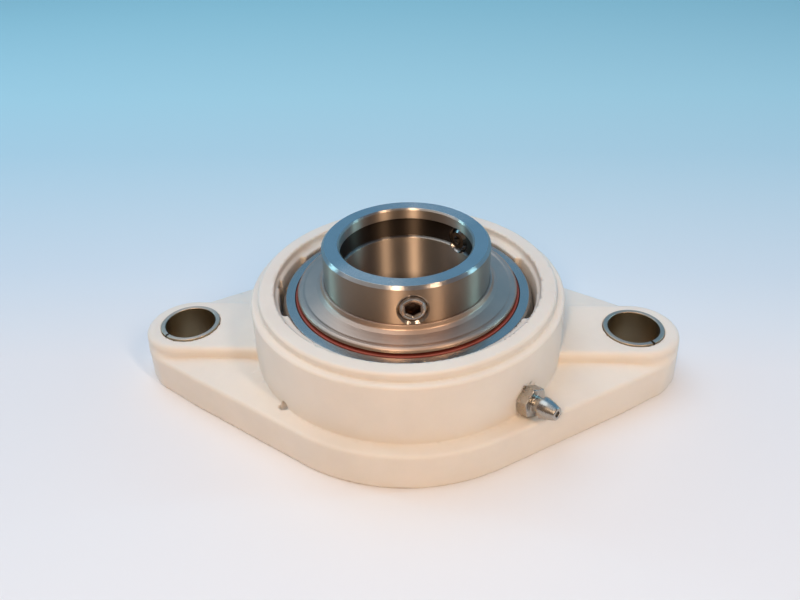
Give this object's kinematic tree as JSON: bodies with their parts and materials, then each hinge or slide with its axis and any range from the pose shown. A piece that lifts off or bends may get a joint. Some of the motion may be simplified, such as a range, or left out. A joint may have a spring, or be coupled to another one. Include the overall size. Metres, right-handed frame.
{
  "type": "flange mount bearing",
  "caption": "Oval flanged plastic housing with a self-aligning stainless ball bearing insert, set-screw collar, bolt sleeves and a grease nipple.",
  "frame": {"origin": "centre of the mounting face, on the shaft axis", "axes": "+Z along the shaft away from the mounting face, +X along the line of the two bolt holes"},
  "size_m": [0.157, 0.098, 0.0434],
  "materials": {
    "housing": "moulded off-white thermoplastic, fine matte grain",
    "bolt_sleeve": "rolled stainless sheet, satin",
    "outer_ring": "ground stainless steel",
    "inner_ring": "ground and turned stainless steel",
    "flinger": "pressed stainless sheet, satin",
    "seal_core": "pressed stainless sheet",
    "seal_lip": "red silicone rubber",
    "ball": "polished stainless steel",
    "cage": "pressed stainless strip",
    "rivet": "headed stainless wire",
    "set_screw": "stainless, machined",
    "pin": "ground stainless",
    "nipple": "turned stainless",
    "spring": "drawn stainless wire"
  },
  "bodies": {
    "housing": {"housing": "housing", "left_bolt_sleeve": "bolt_sleeve", "right_bolt_sleeve": "bolt_sleeve", "grease_nipple": "nipple", "nipple_spring": "spring"},
    "nipple_check_ball": {"nipple_check_ball": "ball"},
    "anti_rotation_pin": {"anti_rotation_pin": "pin"},
    "outer_ring": {"outer_ring": "outer_ring", "front_seal_core": "seal_core", "rear_seal_core": "seal_core", "front_seal_lip": "seal_lip", "rear_seal_lip": "seal_lip"},
    "inner_ring": {"inner_ring": "inner_ring", "front_flinger": "flinger", "rear_flinger": "flinger"},
    "cage": {"cage_front": "cage", "cage_rear": "cage", "cage_rivet_1": "rivet", "cage_rivet_2": "rivet", "cage_rivet_3": "rivet", "cage_rivet_4": "rivet", "cage_rivet_5": "rivet", "cage_rivet_6": "rivet", "cage_rivet_7": "rivet", "cage_rivet_8": "rivet", "cage_rivet_9": "rivet"},
    "front_set_screw": {"front_set_screw": "set_screw"},
    "rear_set_screw": {"rear_set_screw": "set_screw"},
    "ball_1": {"ball_1": "ball"},
    "ball_2": {"ball_2": "ball"},
    "ball_3": {"ball_3": "ball"},
    "ball_4": {"ball_4": "ball"},
    "ball_5": {"ball_5": "ball"},
    "ball_6": {"ball_6": "ball"},
    "ball_7": {"ball_7": "ball"},
    "ball_8": {"ball_8": "ball"},
    "ball_9": {"ball_9": "ball"}
  },
  "joints": [
    {"name": "align_about_y", "type": "hinge", "parent": "housing", "child": "anti_rotation_pin", "pos_m": [0, 0, 0.018], "axis": [0, 1, 0], "range_deg": [-2, 2]},
    {"name": "align_about_x", "type": "hinge", "parent": "anti_rotation_pin", "child": "outer_ring", "pos_m": [0, 0, 0.018], "axis": [1, 0, 0], "range_deg": [-2, 2]},
    {"name": "shaft_spin", "type": "hinge", "parent": "outer_ring", "child": "inner_ring", "pos_m": [0, 0, 0.018], "axis": [0, 0, 1], "continuous": true},
    {"name": "cage_spin", "type": "hinge", "parent": "outer_ring", "child": "cage", "pos_m": [0, 0, 0.018], "axis": [0, 0, 1], "continuous": true},
    {"name": "ball_1_spin", "type": "hinge", "parent": "cage", "child": "ball_1", "pos_m": [0.02634, 0.00464, 0.018], "axis": [0, 0, 1], "continuous": true},
    {"name": "ball_2_spin", "type": "hinge", "parent": "cage", "child": "ball_2", "pos_m": [0.01719, 0.02049, 0.018], "axis": [0, 0, 1], "continuous": true},
    {"name": "ball_3_spin", "type": "hinge", "parent": "cage", "child": "ball_3", "pos_m": [0, 0.02675, 0.018], "axis": [0, 0, 1], "continuous": true},
    {"name": "ball_4_spin", "type": "hinge", "parent": "cage", "child": "ball_4", "pos_m": [-0.01719, 0.02049, 0.018], "axis": [0, 0, 1], "continuous": true},
    {"name": "ball_5_spin", "type": "hinge", "parent": "cage", "child": "ball_5", "pos_m": [-0.02634, 0.00464, 0.018], "axis": [0, 0, 1], "continuous": true},
    {"name": "ball_6_spin", "type": "hinge", "parent": "cage", "child": "ball_6", "pos_m": [-0.02317, -0.01337, 0.018], "axis": [0, 0, 1], "continuous": true},
    {"name": "ball_7_spin", "type": "hinge", "parent": "cage", "child": "ball_7", "pos_m": [-0.00915, -0.02514, 0.018], "axis": [0, 0, 1], "continuous": true},
    {"name": "ball_8_spin", "type": "hinge", "parent": "cage", "child": "ball_8", "pos_m": [0.00915, -0.02514, 0.018], "axis": [0, 0, 1], "continuous": true},
    {"name": "ball_9_spin", "type": "hinge", "parent": "cage", "child": "ball_9", "pos_m": [0.02317, -0.01337, 0.018], "axis": [0, 0, 1], "continuous": true},
    {"name": "front_set_screw_travel", "type": "slide", "parent": "inner_ring", "child": "front_set_screw", "axis": [0.1219, -0.9925, 0], "range_m": [-0.0015, 0.003]},
    {"name": "rear_set_screw_travel", "type": "slide", "parent": "inner_ring", "child": "rear_set_screw", "axis": [0.766, 0.6428, 0], "range_m": [-0.0015, 0.003]},
    {"name": "nipple_check_ball_travel", "type": "slide", "parent": "housing", "child": "nipple_check_ball", "axis": [-0.7175, 0.6881, -0.108], "range_m": [0, 0.0008], "stiffness_N_per_m": 400, "springref_m": -0.0005, "deforming": ["nipple_spring"]}
  ],
  "couplings": [
    {"joint": "cage_spin", "follows": "shaft_spin", "ratio": 0.39615},
    {"joint": "ball_1_spin", "follows": "shaft_spin", "ratio": -2.3033},
    {"joint": "ball_2_spin", "follows": "shaft_spin", "ratio": -2.3033},
    {"joint": "ball_3_spin", "follows": "shaft_spin", "ratio": -2.3033},
    {"joint": "ball_4_spin", "follows": "shaft_spin", "ratio": -2.3033},
    {"joint": "ball_5_spin", "follows": "shaft_spin", "ratio": -2.3033},
    {"joint": "ball_6_spin", "follows": "shaft_spin", "ratio": -2.3033},
    {"joint": "ball_7_spin", "follows": "shaft_spin", "ratio": -2.3033},
    {"joint": "ball_8_spin", "follows": "shaft_spin", "ratio": -2.3033},
    {"joint": "ball_9_spin", "follows": "shaft_spin", "ratio": -2.3033}
  ]
}
